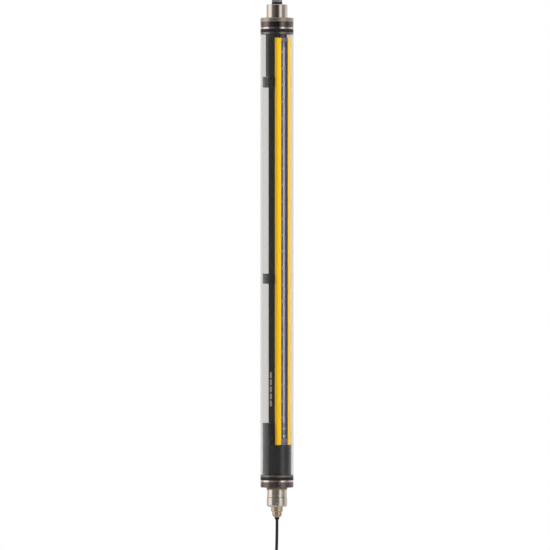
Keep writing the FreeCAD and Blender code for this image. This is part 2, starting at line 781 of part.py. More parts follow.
def make_bracket():
    """Head bracket: a block screwed to the curtain's back, and a round flange under the cap."""
    side = HALF_WIDTH
    front = total(BACK, "seam")
    body = extruded("top_bracket", BRACKET_FOOT, total("bracket_height", "bracket_flange"), [
        (minus("0", side), front),
        (side, front),
        (side, total(front, "bracket_depth - bracket_corner")),
        (minus(side, "bracket_corner"), total(front, "bracket_depth")),
        (minus("bracket_corner", side), total(front, "bracket_depth")),
        (minus("0", side), total(front, "bracket_depth - bracket_corner")),
    ])
    flange = new_sketch(body, "XY_Plane", "bracket_flange_section")
    flange.setExpression("AttachmentOffset.Base.z", cells("bracket_height"))
    circle(flange, "bracket_flange_diameter / 2")
    pad = body.newObject("PartDesign::Pad", "bracket_flange_pad")
    pad.Profile = flange
    pad.setExpression("Length", cells("bracket_flange"))
    doc.recompute()
    bore = new_sketch(body, "XY_Plane", "bracket_bores")
    bore.setExpression("AttachmentOffset.Base.z", cells("bracket_height"))
    circle(bore, "bracket_bore / 2")
    cut(body, bore, "bracket_flange + 1", away=True)
    holes = new_sketch(body, "XY_Plane", "bracket_tapped_holes")
    holes.setExpression("AttachmentOffset.Base.z", cells("bracket_height"))
    for across, depth in cap_screw_places():
        circle(holes, "(cap_screw_diameter + thread_clearance) / 2", across, depth)
    cut(body, holes, "bracket_flange + 1", away=True)
    for index, height in enumerate(("bracket_height / 4", "3 * bracket_height / 4")):
        hole = new_sketch(body, "XZ_Plane", "bracket_hole_%d" % index)
        circle(hole, "screw_hole / 2", "0", height)
        cut(body, hole, "tube_diameter / 2")
        head = new_sketch(body, "XZ_Plane", "bracket_counterbore_%d" % index)
        head.setExpression("AttachmentOffset.Base.z", cells(minus("0", PAD_BACK)))
        circle(head, "screw_head_diameter / 2 + neck_clearance", "0", height)
        cut(body, head, "tube_diameter / 2")


def cap_screw_places():
    """Places of the cap screws on their circle, the first towards the curtain's back."""
    places = []
    for index in range(int(number("cap_screws"))):
        angle = "90 + 360 * %d / cap_screws" % index
        across = "(cap_screw_circle / 2 * cos((%s) * 1deg))" % angle
        depth = "(cap_screw_circle / 2 * sin((%s) * 1deg))" % angle
        places.append((across, depth))
    return places


def make_cap_screw_holes():
    """Screw holes down through the head cap, with counterbores in its upper face."""
    body = doc.getObject("top_cap")
    doc.recompute()
    clear = new_sketch(body, "XY_Plane", "cap_screw_holes")
    clear.setExpression("AttachmentOffset.Base.z", cells("cap_height"))
    bores = new_sketch(body, "XY_Plane", "cap_screw_counterbores")
    bores.setExpression("AttachmentOffset.Base.z", cells("cap_height"))
    for across, depth in cap_screw_places():
        circle(clear, "cap_screw_diameter / 2 + thread_clearance", across, depth)
        circle(bores, "cap_screw_head_diameter / 2 + neck_clearance", across, depth)
    cut(body, clear, total("cap_height", STACK))
    cut(body, bores, "cap_screw_head_height + thread_clearance")


# --------------------------------------------------------------------------
# Curtain
# --------------------------------------------------------------------------
def make_housing():
    """Black extrusion, open at the front, with a T-slot folded into its back."""
    slot_half = "slot_opening / 2"
    cavity_half = "slot_width / 2"
    hump_half = total("slot_width / 2", "slot_floor")
    extruded("housing_channel", PROFILE_FOOT, PROFILE_LENGTH, mirrored_pairs([
        (slot_half, BACK),
        (HALF_WIDTH, BACK),
        (HALF_WIDTH, SHOULDER),
        (INNER_HALF, SHOULDER),
        (INNER_HALF, INNER_BACK),
        (hump_half, INNER_BACK),
        (hump_half, SLOT_BASE),
    ]) + [
        # the hump's far side leads back to the slot, which is walked from left to right
        ("(-(%s))" % slot_half, SLOT_ROOF),
        ("(-(%s))" % cavity_half, SLOT_ROOF),
        ("(-(%s))" % cavity_half, SLOT_END),
        (cavity_half, SLOT_END),
        (cavity_half, SLOT_ROOF),
        (slot_half, SLOT_ROOF),
    ])


def make_rail(name, side):
    """Yellow front rail: a flat face, a side flush with the channel and a leg inside it."""
    window_edge = "(window_width / 2 + seam)"
    leg_outer = minus(INNER_HALF, "seam")
    corners = [
        (HALF_WIDTH, SHOULDER),
        (HALF_WIDTH, total(FRONT, "rail_chamfer")),
        (minus(HALF_WIDTH, "rail_chamfer"), FRONT),
        (window_edge, FRONT),
        (window_edge, RAIL_BACK),
        (LEG_INNER, RAIL_BACK),
        (LEG_INNER, total(SHOULDER, "rail_leg_depth")),
        (leg_outer, total(SHOULDER, "rail_leg_depth")),
        (leg_outer, SHOULDER),
    ]
    if side < 0:
        corners = [("(-(%s))" % across, depth) for across, depth in corners]
    extruded(name, PROFILE_FOOT, PROFILE_LENGTH, corners)


def make_window():
    """Window: its face stands in the gap between the rails, its flanges lie behind them."""
    face = total(FRONT, "window_recess")
    seat = total(RAIL_BACK, "seam")
    edge = total("window_width / 2", "window_flange")
    extruded("window", WINDOW_FOOT, WINDOW_LENGTH, mirrored_pairs([
        ("window_width / 2", face),
        ("window_width / 2", seat),
        (edge, seat),
        (edge, total(seat, "window_thickness")),
    ]))


def make_end_caps():
    """Moulded ends of the curtain, each with a tongue that closes the window's gap."""
    seat = total(RAIL_BACK, "seam")
    foot = extruded("curtain_bottom_cap", PROFILE_FOOT, "foot_cap_height", mirrored_pairs([
        ("window_width / 2", FRONT),
        ("window_width / 2", seat),
        (FILL_HALF, seat),
        (FILL_HALF, CARRIER_BACK),
    ]))
    pocket = new_sketch(foot, "XY_Plane", "lead_pocket")
    pocket_half = "(connector_width / 2 + pocket_clearance)"
    outline(pocket, mirrored_pairs([
        (pocket_half, total(CARRIER_BACK, "seam")),
        (pocket_half, minus(CARRIER_BACK, "cable_diameter", "cable_room")),
    ]))
    cut(foot, pocket, "(foot_cap_height - pocket_floor)", away=True)
    extruded("curtain_top_cap", WINDOW_HEAD, "head_cap_height", mirrored_pairs([
        ("window_width / 2", FRONT),
        ("window_width / 2", seat),
        (FILL_HALF, seat),
        (FILL_HALF, minus(SLOT_BASE, "seam")),
    ]))


def make_optics():
    """Lens carrier: a groove for the lens strip, a stepped bore for each beam, light bores."""
    body = extruded("lens_carrier", total(WINDOW_FOOT, "seam"), minus(WINDOW_LENGTH, "2 * seam"),
                    mirrored_pairs([
                        (FILL_HALF, CARRIER_FRONT),
                        (FILL_HALF, CARRIER_BACK),
                    ]))
    beam_foot = minus("first_beam", "seam")
    opening = new_sketch(body, "XZ_Plane", "beam_opening_sketch")
    outline(opening, mirrored_pairs([
        ("beam_window / 2", total(beam_foot, "beam_window / 2")),
        ("beam_window / 2", minus(beam_foot, "beam_window / 2")),
    ]))
    through = cut(body, opening, "front_offset", away=True)
    seat = new_sketch(body, "XZ_Plane", "lens_seat_sketch")
    seat.setExpression("AttachmentOffset.Base.z", cells(minus("0", LENS_FLOOR)))
    circle(seat, "lens_diameter / 2 + seam", "0", beam_foot)
    step = cut(body, seat, "front_offset", away=True)
    groove = new_sketch(body, "XZ_Plane", "strip_groove")
    groove.setExpression("AttachmentOffset.Base.z", cells(minus("0", STRIP_BACK, "seam")))
    groove_foot = minus(STRIP_FOOT, "2 * seam")
    groove_head = total(STRIP_FOOT, STRIP_LENGTH)
    outline(groove, mirrored_pairs([
        ("lens_strip_width / 2 + seam", groove_head),
        ("lens_strip_width / 2 + seam", groove_foot),
    ]))
    cut(body, groove, "front_offset", away=True)
    lights = new_sketch(body, "XZ_Plane", "light_bores")
    for index in range(2):
        circle(lights, "light_diameter / 2 + seam", "light_side",
               "(first_light + %d * light_pitch - seam)" % index)
    cut(body, lights, "front_offset", away=True)
    repeat = body.newObject("PartDesign::LinearPattern", "beam_repeat")
    repeat.Originals = [through, step]
    repeat.Direction = (opening, ["V_Axis"])
    repeat.Occurrences = BEAM_COUNT
    repeat.setExpression("Length", cells("(%d * beam_pitch)" % (BEAM_COUNT - 1)))
    body.Tip = repeat


def beam_heights():
    """Height of every beam."""
    first = number(FIRST_BEAM)
    return [first + index * number("beam_pitch") for index in range(BEAM_COUNT)]


def make_lenses():
    """Lenses: a moulded strip with one round lens behind its face on each beam."""
    radius = number("lens_diameter / 2")
    crown = number("lens_crown")
    wide = number("lens_strip_width")
    thick = number("lens_strip_thickness")
    edge = number(minus("lens_seat", "lens_strip_thickness", "lens_crown"))
    face = number(CARRIER_FRONT)
    foot = number(total(WINDOW_FOOT, STRIP_FOOT))
    strip = Part.makeBox(wide, thick, number(STRIP_LENGTH), Vector(-wide / 2, face, foot))
    inward = Vector(0, 1, 0)
    lenses = []
    for height in beam_heights():
        root = Vector(0, face + thick, height)
        lenses.append(Part.makeCylinder(radius, edge, root, inward))
        lenses.append(Part.makeCone(radius, radius - 2 * crown, crown, root + inward * edge, inward))
    group("lenses", [strip.multiFuse(lenses).removeSplitter()])


def make_board():
    """Circuit board with one diode behind each lens, and the lead's connector at its foot."""
    half = FILL_HALF
    extruded("circuit_board", total(PROFILE_FOOT, "seam"),
             minus(PROFILE_LENGTH, "head_cap_height", "2 * seam"), mirrored_pairs([
                 (half, BOARD_BACK),
                 (half, BOARD_FRONT),
             ]))
    width = number("diode_width")
    tall = number("diode_height")
    deep = number("diode_depth")
    front = number(BOARD_FRONT)
    group("diodes", [
        Part.makeBox(width, deep, tall, Vector(-width / 2, front - deep, height - tall / 2))
        for height in beam_heights()
    ])
    deep = number("connector_depth")
    tall = number("connector_height")
    wide = number("connector_width")
    foot = number(total(PROFILE_FOOT, "connector_foot"))
    group("lead_connector", [
        Part.makeBox(wide, deep, tall, Vector(-wide / 2, front - deep, foot)),
    ])


def make_lights():
    """Two status lights: light pipes from the board to just behind the window."""
    radius = number("light_diameter / 2")
    front = number(BOARD_FRONT)
    length = front - number(CARRIER_FRONT)
    solids = []
    for index in range(2):
        height = number(WINDOW_FOOT) + number("first_light + %d * light_pitch" % index)
        place = Vector(number("light_side"), front, height)
        solids.append(Part.makeCylinder(radius, length, place, Vector(0, -1, 0)))
    group("status_lights", solids)


# --------------------------------------------------------------------------
# Fixing screws and slot nuts
# --------------------------------------------------------------------------
def slot_screw_heights():
    """Where the T-slot is screwed: the cradle, both holders and twice on the bracket."""
    return [
        total(TUBE_FOOT, "adapter_height", "cradle_height / 2"),
        MIDDLE_HOLDER,
        UPPER_HOLDER,
        total(BRACKET_FOOT, "bracket_height / 4"),
        total(BRACKET_FOOT, "3 * bracket_height / 4"),
    ]


def cylinder_screw(radius, shank, head_radius, head_height, under_head, direction):
    """A cylinder-head screw: its head's underside at a point, its shank along a direction."""
    head = Part.makeCylinder(head_radius, head_height, under_head, direction * -1)
    body = Part.makeCylinder(radius, shank, under_head, direction)
    return head.fuse(body).removeSplitter()


def make_slot_fixings():
    """A T-nut in the slot and a screw into it at each fixing."""
    nut_half = number("slot_width / 2 - seam")
    roof = number(SLOT_ROOF)
    floor = number(SLOT_END)
    nut_deep = roof - floor - number("seam")
    nut_long = number("slot_nut_length")
    hole = number("(screw_diameter + seam) / 2")
    pad_back = number(PAD_BACK)
    nuts = []
    screws = []
    for text in slot_screw_heights():
        height = number(text)
        block = Part.makeBox(2 * nut_half, nut_deep, nut_long,
                             Vector(-nut_half, roof - nut_deep, height - nut_long / 2))
        bore = Part.makeCylinder(hole, 4 * nut_deep, Vector(0, roof + nut_deep, height), Vector(0, -1, 0))
        nuts.append(block.cut(bore))
        screws.append(cylinder_screw(
            number("screw_diameter / 2"),
            pad_back - floor - number("seam"),
            number("screw_head_diameter / 2"),
            number("screw_head_height"),
            Vector(0, pad_back, height),
            Vector(0, -1, 0)))
    group("slot_nuts", nuts)
    group("slot_screws", screws)


def make_cap_screws():
    """Screws under the cover that draw the head cap down onto the bracket's flange."""
    under_head = number(minus(HEAD_COVER, "cap_screw_head_height", "thread_clearance"))
    shank = under_head - number(total(PROFILE_HEAD, "neck_clearance"))
    solids = []
    for across, depth in cap_screw_places():
        solids.append(cylinder_screw(
            number("cap_screw_diameter / 2"),
            shank,
            number("cap_screw_head_diameter / 2"),
            number("cap_screw_head_height"),
            Vector(number(across), number(depth), under_head),
            Vector(0, 0, -1)))
    group("cap_screws", solids)


# --------------------------------------------------------------------------
# Cable and plug
# --------------------------------------------------------------------------
# The free cable hangs from the gland's tip: offsets across and deep, then the drop.
CABLE_ROUTE = [
    (0.0, 0.0, 0.0),
    (0.0, 0.0, -30.0),
    (-2.0, 1.0, -80.0),
    (-3.0, 0.4, -130.0),
    (-3.0, 0.4, -160.0),
]


def rounded_path(points, label):
    """Straight runs joined by tangent arcs, each as large as its two runs allow."""
    edges = []
    start = points[0]
    for index in range(1, len(points) - 1):
        corner = points[index]
        back = points[index - 1] - corner
        ahead = points[index + 1] - corner
        shorter = min(back.Length, ahead.Length)
        turn = math.pi - back.getAngle(ahead)
        radius = 0.45 * shorter / math.tan(turn / 2)
        tangent = 0.45 * shorter
        back.normalize()
        ahead.normalize()
        enter = corner + back * tangent
        leave = corner + ahead * tangent
        bisector = back + ahead
        bisector.normalize()
        centre_distance = math.hypot(radius, tangent)
        middle = corner + bisector * (centre_distance - radius)
        edges.append(Part.LineSegment(start, enter).toShape())
        edges.append(Part.Arc(enter, middle, leave).toShape())
        print("%s: bend %d radius %.0f mm" % (label, index, radius))
        start = leave
    edges.append(Part.LineSegment(start, points[-1]).toShape())
    return Part.Wire(edges)


def round_tube(name, points, diameter):
    """A solid round lead along a path, its volume checked against section times length."""
    path = rounded_path(points, name)
    direction = points[1] - points[0]
    section = Part.Wire(Part.makeCircle(diameter / 2, points[0], direction))
    solid = path.makePipeShell([section], True, True)
    expected = math.pi * diameter * diameter / 4 * path.Length
    print("%s: length %.1f mm, volume %.4f of section times length"
          % (name, path.Length, abs(solid.Volume) / expected))
    group(name, [solid])


def make_leads():
    """The lead inside, from the gland's tip to the board, and the free cable below it."""
    diameter = number("cable_diameter")
    exit_height = number(CABLE_EXIT)
    lead_depth = number(minus(CARRIER_BACK, "cable_diameter / 2"))
    round_tube("inner_lead", [
        Vector(0, 0, exit_height),
        Vector(0, 0, number(minus(total(TUBE_FOOT, "spigot_length"), "lead_lower_bend"))),
        Vector(0, lead_depth, number(minus(PROFILE_FOOT, "lead_upper_bend"))),
        Vector(0, lead_depth, number(total(PROFILE_FOOT, "connector_foot - seam"))),
    ], diameter)
    round_tube("cable", [
        Vector(across, deep, exit_height + drop) for across, deep, drop in CABLE_ROUTE
    ], diameter)


def make_plug():
    """Plug on the cable's end: grip, contact carrier, pins and a coupling ring that turns."""
    across, deep, drop = CABLE_ROUTE[-1]
    top = total(CABLE_EXIT, "(%g)" % drop)

    def hang(body):
        stand_at(body, top, "(%g)" % across, "(%g)" % deep)

    grip = "(plug_grip_diameter / 2)"
    neck = "(plug_neck_diameter / 2)"
    ring_length = "(plug_knurl_length + plug_thread_length)"
    gap = "plug_ring_clearance"
    ring_top = "(plug_grip_length + plug_ring_clearance)"
    throat = "(plug_knurl_length - 3.3)"
    neck_length = total(gap, throat, gap)
    carrier_top = total("plug_grip_length", neck_length)
    hang(turned("plug_grip", top, [
        ("0", "0"),
        ("3.2", "0"),
        ("4.4", "-3.5"),
        (minus(grip, "0.6"), "-9"),
        (grip, "-11.5"),
        (grip, "(0.8 - plug_grip_length)"),
        (minus(grip, "0.8"), "(-plug_grip_length)"),
        (neck, "(-plug_grip_length)"),
        (neck, "(-" + carrier_top + ")"),
        ("0", "(-" + carrier_top + ")"),
    ]))
    carrier = turned("plug_carrier", top, [
        ("0", "(-" + carrier_top + ")"),
        ("plug_carrier_diameter / 2", "(-" + carrier_top + ")"),
        ("plug_carrier_diameter / 2", "(-" + total(carrier_top, "plug_carrier_length - 0.5") + ")"),
        ("plug_carrier_diameter / 2 - 0.5", "(-" + total(carrier_top, "plug_carrier_length") + ")"),
        ("0", "(-" + total(carrier_top, "plug_carrier_length") + ")"),
    ])
    hang(carrier)
    ring = turned("plug_coupling_ring", top, ring_corners_of_plug(ring_top, throat, ring_length))
    hang(ring)
    doc.recompute()
    flute = new_sketch(ring, "XY_Plane", "plug_flute_section")
    flute.setExpression("AttachmentOffset.Base.z", cells("(-" + ring_top + ")"))
    circle(flute, "plug_flute_radius", "plug_knurl_diameter / 2 + plug_flute_radius / 2")
    first = cut(ring, flute, "(plug_knurl_length - 0.6)")
    repeat = ring.newObject("PartDesign::PolarPattern", "plug_flute_repeat")
    repeat.Originals = [first]
    repeat.Axis = (flute, ["N_Axis"])
    repeat.Angle = 360.0
    repeat.setExpression("Occurrences", cells("plug_flutes"))
    ring.Tip = repeat
    seal_top = total(ring_top, "plug_knurl_length")
    seal_inner = "(plug_thread / 2 - plug_ring_clearance + seam / 2)"
    seal_outer = "(plug_thread / 2 + plug_ring_clearance + edge_break)"
    hang(turned("plug_seal", top, [
        (seal_inner, "(-" + total(seal_top, "plug_seal_height") + ")"),
        (seal_outer, "(-" + total(seal_top, "plug_seal_height") + ")"),
        (seal_outer, "(-" + seal_top + ")"),
        (seal_inner, "(-" + seal_top + ")"),
    ]))
    make_pins(across, deep, number(top) - number(total(carrier_top, "plug_carrier_length")))


def ring_corners_of_plug(ring_top, throat, ring_length):
    """Half outline of the coupling ring: fluted collar, seal groove, thread and two bores."""
    knurl = "plug_knurl_diameter / 2"
    thread = "plug_thread / 2"
    mouth = "(-" + total(ring_top, ring_length) + ")"
    shoulder = "(-" + total(ring_top, "plug_knurl_length") + ")"
    inner = "(plug_carrier_diameter / 2 + plug_ring_clearance)"
    rear = "(plug_neck_diameter / 2 + plug_ring_clearance)"
    step = "(-" + total(ring_top, throat) + ")"
    return [
        (inner, mouth),
        (minus(thread, "0.5"), mouth),
        (thread, total(mouth, "0.5")),
        (thread, minus(shoulder, "plug_seal_height", "seam")),
        (minus(thread, "plug_ring_clearance"), minus(shoulder, "plug_seal_height", "seam")),
        (minus(thread, "plug_ring_clearance"), shoulder),
        (minus(knurl, "0.5"), shoulder),
        (knurl, total(shoulder, "0.5")),
        (knurl, minus("0", ring_top, "0.5")),
        (minus(knurl, "0.5"), minus("0", ring_top)),
        (rear, minus("0", ring_top)),
        (rear, step),
        (inner, step),
    ]


def make_pins(across, deep, face):
    """Four contact pins on a circle and one in the middle, standing out of the carrier."""
    radius = number("plug_pin_diameter / 2")
    length = number("plug_pin_length")
    circle_radius = number("plug_pin_circle / 2")
    places = [Vector(0, 0, 0)]
    for index in range(4):
        angle = math.radians(45 + 90 * index)
        places.append(Vector(circle_radius * math.cos(angle), circle_radius * math.sin(angle), 0))
    foot = Vector(across, deep, face)
    group("plug_pins", [
        Part.makeCylinder(radius, length, foot + place, Vector(0, 0, -1)) for place in places
    ])


# --------------------------------------------------------------------------
# Build
# --------------------------------------------------------------------------
make_tube()
make_ring_stack("bottom", minus(TUBE_FOOT, "collar_height"), FOOT_SEAL, FOOT_CLAMP)
make_ring_stack("top", TUBE_HEAD, HEAD_SEAL, HEAD_CLAMP)
make_bottom_cap()
make_top_cap()
make_cap_screw_holes()
make_cover()
make_boss()
make_vent()
make_gland()
make_adapter()
make_holder("middle_holder", MIDDLE_HOLDER)
make_holder("upper_holder", UPPER_HOLDER)
make_bracket()
make_housing()
make_rail("left_front_rail", -1)
make_rail("right_front_rail", 1)
make_window()
make_end_caps()
make_optics()
make_lenses()
make_board()
make_lights()
make_slot_fixings()
make_cap_screws()
make_leads()
make_plug()
doc.recompute()

faults = []
for item in doc.Objects:
    if "Invalid" in item.State or "Error" in item.State:
        faults.append("%s: %s" % (item.Name, item.State))
for piece in parts:
    if piece.Shape.isNull() or not piece.Shape.isValid():
        faults.append("%s: no valid shape" % piece.Label)
if faults:
    raise RuntimeError("; ".join(faults))

os.makedirs("parts", exist_ok=True)
for piece in parts:
    piece.Shape.exportStep("parts/%s.step" % piece.Label)
print("%d pieces written, %d beams" % (len(parts), BEAM_COUNT))
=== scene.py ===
"""Looks of a safety light curtain sealed in a clear tube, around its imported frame.

Metres. The tube's axis is Z, its middle is the origin, and the curtain looks along -Y.
"""
import json
import math

import bmesh
import bpy
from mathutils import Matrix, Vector


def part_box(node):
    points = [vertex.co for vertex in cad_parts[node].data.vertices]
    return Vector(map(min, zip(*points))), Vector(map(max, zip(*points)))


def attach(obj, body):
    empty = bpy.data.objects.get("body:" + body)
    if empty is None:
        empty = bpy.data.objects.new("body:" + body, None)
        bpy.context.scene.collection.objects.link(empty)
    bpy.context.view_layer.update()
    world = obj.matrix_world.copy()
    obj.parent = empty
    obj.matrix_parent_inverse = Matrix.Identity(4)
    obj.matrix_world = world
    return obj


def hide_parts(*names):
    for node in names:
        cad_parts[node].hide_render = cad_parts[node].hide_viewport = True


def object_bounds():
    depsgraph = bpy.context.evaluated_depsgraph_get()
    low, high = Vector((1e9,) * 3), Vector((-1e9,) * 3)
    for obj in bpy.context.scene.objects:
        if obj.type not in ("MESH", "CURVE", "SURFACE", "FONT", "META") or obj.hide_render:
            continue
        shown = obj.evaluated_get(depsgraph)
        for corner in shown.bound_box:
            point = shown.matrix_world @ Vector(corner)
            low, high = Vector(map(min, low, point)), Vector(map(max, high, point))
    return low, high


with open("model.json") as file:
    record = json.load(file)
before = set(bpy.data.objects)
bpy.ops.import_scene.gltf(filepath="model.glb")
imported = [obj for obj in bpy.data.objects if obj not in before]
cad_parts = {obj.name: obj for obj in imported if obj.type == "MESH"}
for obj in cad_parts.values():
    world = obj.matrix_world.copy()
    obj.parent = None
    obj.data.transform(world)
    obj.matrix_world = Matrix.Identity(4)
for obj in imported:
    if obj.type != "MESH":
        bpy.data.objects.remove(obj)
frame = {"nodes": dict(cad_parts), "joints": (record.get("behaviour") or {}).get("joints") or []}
CAD_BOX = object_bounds()

MM = 0.001
UP = Vector((0, 0, 1))
WHITE = (1, 1, 1, 1)

# --------------------------------------------------------------------------
# Camera
# --------------------------------------------------------------------------
# The camera stands level, far off, to the left of the way the window faces.
VIEW_TURN = math.radians(46)
VIEW_WIDTH = 828.3 * MM
LENS_MM = 400.0
SENSOR_MM = 36.0
CLIP_END = 100
AIM_HEIGHT = -30.6 * MM
AIM_ASIDE = -3.0 * MM
TOWARDS_CAMERA = Vector((-math.sin(VIEW_TURN), -math.cos(VIEW_TURN), 0))
CAMERA_RIGHT = Vector((math.cos(VIEW_TURN), -math.sin(VIEW_TURN), 0))


def from_camera(degrees):
    """A level direction, turned from the camera's own towards its right."""
    angle = math.radians(degrees)
    return TOWARDS_CAMERA * math.cos(angle) + CAMERA_RIGHT * math.sin(angle)


def make_camera():
    """The one camera, aimed a little below and aside of the tube's middle."""
    data = bpy.data.cameras.new("camera")
    data.lens = LENS_MM
    data.sensor_width = SENSOR_MM
    data.clip_end = CLIP_END
    camera = bpy.data.objects.new("camera", data)
    bpy.context.collection.objects.link(camera)
    aim = CAMERA_RIGHT * AIM_ASIDE + UP * AIM_HEIGHT
    camera.location = aim + TOWARDS_CAMERA * (VIEW_WIDTH * LENS_MM / SENSOR_MM)
    camera.rotation_euler = (aim - camera.location).to_track_quat("-Z", "Y").to_euler()
    bpy.context.scene.camera = camera


# --------------------------------------------------------------------------
# Making materials
# --------------------------------------------------------------------------
def linear(code):
    """A linear colour from an sRGB hex code."""
    parts = [int(code[place:place + 2], 16) / 255 for place in (1, 3, 5)]
    return [part / 12.92 if part <= 0.04045 else ((part + 0.055) / 1.055) ** 2.4
            for part in parts] + [1.0]


def add(tree, kind, sockets=None, **settings):
    """A node with its settings; sockets gives each input a value or another node's output."""
    node = tree.nodes.new("ShaderNode" + kind)
    for name, value in settings.items():
        setattr(node, name, value)
    for name, value in (sockets or {}).items():
        if isinstance(value, bpy.types.NodeSocket):
            tree.links.new(value, node.inputs[name])
        else:
            node.inputs[name].default_value = value
    return node


def new_material(name, colour, **sockets):
    """A material with one Principled surface; sockets are the surface's own, with _ for spaces."""
    material = bpy.data.materials.new(name)
    material.use_nodes = True
    tree = material.node_tree
    surface = tree.nodes["Principled BSDF"]
    surface.inputs["Base Color"].default_value = linear(colour)
    for socket, value in sockets.items():
        surface.inputs[socket.replace("_", " ")].default_value = value
    return material, tree, surface


def vary(tree, surface, pattern, colours=None, roughness=None, relief=None):
    """Let a pattern from 0 to 1 vary a surface.

    It goes from the first colour to the second, from the lower roughness to the higher, and
    stands up by the relief, in metres.
    """
    if colours:
        dark, light = colours
        tint = add(tree, "Mix", {"Factor": pattern, 6: linear(dark), 7: linear(light)},
                   data_type="RGBA")
        tree.links.new(tint.outputs[2], surface.inputs["Base Color"])
    if roughness:
        low, high = roughness
        sheen = add(tree, "MapRange", {"Value": pattern, "To Min": low, "To Max": high})
        tree.links.new(sheen.outputs["Result"], surface.inputs["Roughness"])
    if relief:
        bump = add(tree, "Bump", {"Height": pattern, "Distance": relief, "Strength": 1.0})
        tree.links.new(bump.outputs["Normal"], surface.inputs["Normal"])


def lathe_rings(tree, pitch, centre=(0, 0)):
    """Rings left by a turning tool: round the side, and concentric on flat ends."""
    place = add(tree, "TexCoord").outputs["Object"]
    shift = add(tree, "VectorMath", {0: place, 1: (-centre[0], -centre[1], 0)}, operation="ADD")
    axes = add(tree, "SeparateXYZ", {"Vector": shift.outputs["Vector"]})
    flat = add(tree, "CombineXYZ", {"X": axes.outputs["X"], "Y": axes.outputs["Y"]})
    radius = add(tree, "VectorMath", {0: flat.outputs["Vector"]}, operation="LENGTH")
    along = add(tree, "Math", {0: radius.outputs["Value"], 1: axes.outputs["Z"]},
                operation="ADD")
    line = add(tree, "CombineXYZ", {"Z": along.outputs["Value"]})
    rings = add(tree, "TexNoise",
                {"Vector": line.outputs["Vector"], "Scale": 1 / pitch, "Detail": 3.0})
    return rings.outputs["Fac"]


def fine_grain(tree, size, detail=2.0):
    """The fine even grain of a moulded, coated or plated skin; size is one grain's."""
    place = add(tree, "TexCoord").outputs["Object"]
    noise = add(tree, "TexNoise", {"Vector": place, "Scale": 1 / size, "Detail": detail})
    return noise.outputs["Fac"]


def die_lines(tree, pitch):
    """Faint straight lines that an extrusion die leaves along Z."""
    place = add(tree, "TexCoord").outputs["Object"]
    narrow = add(tree, "VectorMath", {0: place, 1: (1 / pitch, 1 / pitch, 1.0)},
                 operation="MULTIPLY")
    noise = add(tree, "TexNoise",
                {"Vector": narrow.outputs["Vector"], "Scale": 1.0, "Detail": 2.0})
    return noise.outputs["Fac"]


def joint_centre():
    """The point that the plug's coupling ring turns about."""
    return Vector(frame["joints"][0]["pos_m"])


# --------------------------------------------------------------------------
# Materials
# --------------------------------------------------------------------------
ACRYLIC_IOR = 1.49
LATHE_PITCH = 0.12 * MM
LATHE_RELIEF = 0.0006 * MM


def extruded_acrylic():
    """Clear acrylic tube as drawn: glossy and almost colourless."""
    material, *_ = new_material("extruded_acrylic", "#efeeec", Transmission_Weight=1.0,
                                IOR=ACRYLIC_IOR, Roughness=0.015)
    return material


def turned_stainless(name, colour, roughness):
    """Stainless steel off the lathe: warm grey, its rings blur reflections along the axis."""
    material, tree, surface = new_material(name, colour, Metallic=1.0, Roughness=roughness)
    vary(tree, surface, lathe_rings(tree, LATHE_PITCH),
         roughness=(roughness * 0.85, roughness * 1.15), relief=LATHE_RELIEF)
    return material


def vulcanised_fibre():
    """Brown vulcanised-fibre washer: dull, with a faint mottle."""
    material, tree, surface = new_material("vulcanised_fibre", "#6f6248", Roughness=0.5)
    vary(tree, surface, fine_grain(tree, 0.6 * MM), colours=("#665a42", "#7a6c50"))
    return material


def moulded_rubber():
    """Black nitrile rubber: matt, with a faint grey bloom."""
    material, tree, surface = new_material("moulded_rubber", "#0d0c0c", Roughness=0.55)
    vary(tree, surface, fine_grain(tree, 0.4 * MM), colours=("#0a0809", "#131112"),
         relief=0.003 * MM)
    return material


def black_anodised():
    """Black anodised aluminium extrusion: satin, slightly warm, with faint die lines along it."""
    material, tree, surface = new_material("black_anodised", "#0e0605", Roughness=0.34,
                                           Specular_IOR_Level=0.16)
    vary(tree, surface, die_lines(tree, 0.35 * MM), roughness=(0.28, 0.42), relief=0.004 * MM)
    return material


def yellow_coating():
    """Signal yellow powder coating: strong and even, with a slight orange peel."""
    material, tree, surface = new_material("yellow_coating", "#eebf00", Roughness=0.42,
                                           Specular_IOR_Level=0.12)
    vary(tree, surface, fine_grain(tree, 0.9 * MM), colours=("#ecbb00", "#f0c100"),
         relief=0.004 * MM)
    return material


def smoked_acrylic():
    """Smoked acrylic window: a violet-grey tint over the pale lens strip."""
    material, *_ = new_material("smoked_acrylic", "#bfbfcd", Transmission_Weight=1.0,
                                IOR=ACRYLIC_IOR, Roughness=0.03)
    return material


def black_acetal():
    """Black acetal, machined: a deep even black with a soft shine."""
    material, tree, surface = new_material("black_acetal", "#080607", Roughness=0.36,
                                           Specular_IOR_Level=0.3)
    vary(tree, surface, fine_grain(tree, 0.25 * MM), roughness=(0.34, 0.4), relief=0.002 * MM)
    return material


def black_polyamide():
    """Black moulded polyamide: spark-eroded grain, duller than machined acetal."""
    material, tree, surface = new_material("black_polyamide", "#131214", Roughness=0.5)
    vary(tree, surface, fine_grain(tree, 0.3 * MM), colours=("#100f11", "#18171a"),
         relief=0.004 * MM)
    return material


def violet_polyamide():
    """Dark violet-grey moulded polyamide, duller than the window beside it."""
    material, tree, surface = new_material("violet_polyamide", "#5a5262", Roughness=0.5)
    vary(tree, surface, fine_grain(tree, 0.3 * MM), colours=("#554d5d", "#605868"),
         relief=0.006 * MM)
    return material


def grey_polyamide():
    """Grey moulded polyamide with a fine even grain."""
    material, tree, surface = new_material("grey_polyamide", "#6a6a6a", Roughness=0.5)
    vary(tree, surface, fine_grain(tree, 0.3 * MM), colours=("#656565", "#707070"),
         relief=0.004 * MM)
    return material


